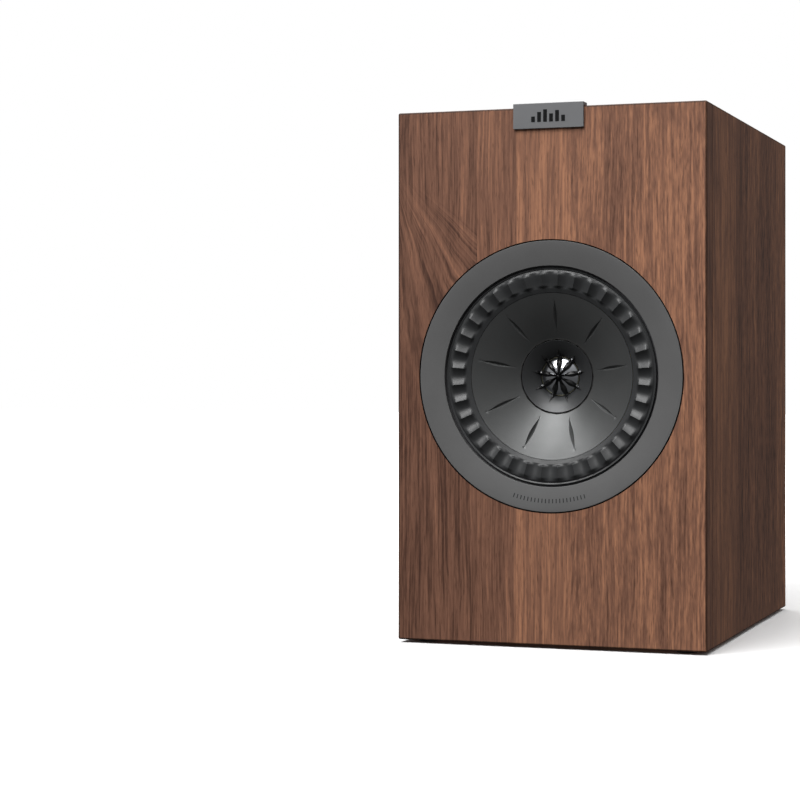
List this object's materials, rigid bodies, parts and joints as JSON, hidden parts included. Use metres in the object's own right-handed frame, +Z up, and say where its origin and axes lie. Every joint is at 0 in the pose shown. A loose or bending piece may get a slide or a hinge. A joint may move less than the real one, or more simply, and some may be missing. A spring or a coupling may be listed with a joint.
{
  "type": "bookshelf speaker",
  "caption": "Two-way bookshelf speaker in walnut with a coaxial driver, grey trim ring and badge plate, rear reflex port and screw-down binding posts.",
  "frame": {"origin": "centre of the footprint (badge front to binding post ends), on the surface that the feet rest on", "axes": "+X to the right seen from the front, +Y from the baffle into the cabinet, +Z up"},
  "size_m": [0.18, 0.2776, 0.307],
  "materials": {
    "walnut": "walnut vinyl wrap over MDF, satin",
    "raw_board": "raw MDF",
    "rubber": "matt",
    "badge_grey": "grey anodised, satin",
    "ring_grey": "grey satin",
    "black_plastic": "black moulded",
    "foam": "closed-cell foam",
    "cast_frame": "black painted casting",
    "screw_black": "black zinc",
    "surround_rubber": "satin butyl",
    "cone_metal": "grey coated, satin",
    "brown_former": "polyimide film",
    "copper": "enamelled copper winding",
    "spider_cloth": "resin-dipped cloth",
    "steel": "machined",
    "ferrite": "sintered ferrite, ground",
    "neodymium": "nickel plated",
    "waveguide_grey": "dark grey satin",
    "dome_aluminium": "polished",
    "wadding": "polyester wadding",
    "red_plastic": "red moulded",
    "brass": "gold plated",
    "board_green": "glass-epoxy circuit board",
    "capacitor_film": "film capacitor jacket",
    "resistor_white": "wirewound cement body"
  },
  "bodies": {
    "cabinet": {"front_baffle": "walnut", "left_side_panel": "walnut", "right_side_panel": "walnut", "top_panel": "walnut", "bottom_panel": "walnut", "rear_panel": "walnut", "window_brace": "raw_board", "magnet_damping_ring": "rubber", "damping_wadding": "wadding", "foot_front_left": "rubber", "foot_front_right": "rubber", "foot_rear_left": "rubber", "foot_rear_right": "rubber", "badge_plate": "badge_grey", "trim_ring": "ring_grey", "driver_gasket": "foam", "driver_chassis": "cast_frame", "driver_screw_1": "screw_black", "driver_screw_2": "screw_black", "driver_screw_3": "screw_black", "driver_screw_4": "screw_black", "front_plate": "steel", "ferrite_magnet": "ferrite", "rear_yoke": "steel", "tweeter_waveguide": "waveguide_grey", "phase_plug": "black_plastic", "tweeter_top_plate": "steel", "tweeter_magnet": "neodymium", "tweeter_yoke": "steel", "tweeter_damping_tube": "black_plastic", "port_outer_flare": "black_plastic", "port_tube": "black_plastic", "terminal_plate": "black_plastic", "terminal_gasket": "foam", "terminal_screw_1": "screw_black", "terminal_screw_2": "screw_black", "terminal_screw_3": "screw_black", "terminal_screw_4": "screw_black", "red_post_collar": "red_plastic", "black_post_collar": "black_plastic", "red_post_stud": "brass", "black_post_stud": "brass", "crossover_board": "board_green", "woofer_inductor": "copper", "tweeter_inductor": "copper", "woofer_capacitor": "black_plastic", "tweeter_capacitor": "capacitor_film", "tweeter_resistor": "resistor_white"},
    "woofer_moving": {"woofer_cone": "cone_metal", "woofer_coil_former": "brown_former", "woofer_voice_coil": "copper", "woofer_surround": "surround_rubber", "spider": "spider_cloth"},
    "tweeter_moving": {"tweeter_dome": "dome_aluminium", "tweeter_voice_coil": "copper", "tweeter_suspension": "surround_rubber"},
    "red_clamp": {"red_clamp_washer": "brass"},
    "red_cap": {"red_post_cap": "red_plastic"},
    "black_clamp": {"black_clamp_washer": "brass"},
    "black_cap": {"black_post_cap": "black_plastic"}
  },
  "joints": [
    {"name": "woofer_stroke", "type": "slide", "parent": "cabinet", "child": "woofer_moving", "axis": [0, -1, 0], "range_m": [-0.004, 0.004], "stiffness_N_per_m": 1000, "deforming": ["woofer_surround", "spider"]},
    {"name": "tweeter_stroke", "type": "slide", "parent": "cabinet", "child": "tweeter_moving", "axis": [0, -1, 0], "range_m": [-0.0003, 0.0003], "stiffness_N_per_m": 25, "deforming": ["tweeter_suspension"]},
    {"name": "red_clamp_travel", "type": "slide", "parent": "cabinet", "child": "red_clamp", "axis": [0, 1, 0], "range_m": [0, 0.004]},
    {"name": "red_cap_turn", "type": "hinge", "parent": "red_clamp", "child": "red_cap", "pos_m": [0.011, 0.12375, 0.0618], "axis": [0, 1, 0], "range_deg": [-1, 1441]},
    {"name": "black_clamp_travel", "type": "slide", "parent": "cabinet", "child": "black_clamp", "axis": [0, 1, 0], "range_m": [0, 0.004]},
    {"name": "black_cap_turn", "type": "hinge", "parent": "black_clamp", "child": "black_cap", "pos_m": [-0.011, 0.12375, 0.0618], "axis": [0, 1, 0], "range_deg": [-1, 1441]}
  ],
  "couplings": [
    {"joint": "red_cap_turn", "follows": "red_clamp_travel", "rad_per_m": 6283.2},
    {"joint": "black_cap_turn", "follows": "black_clamp_travel", "rad_per_m": 6283.2}
  ]
}
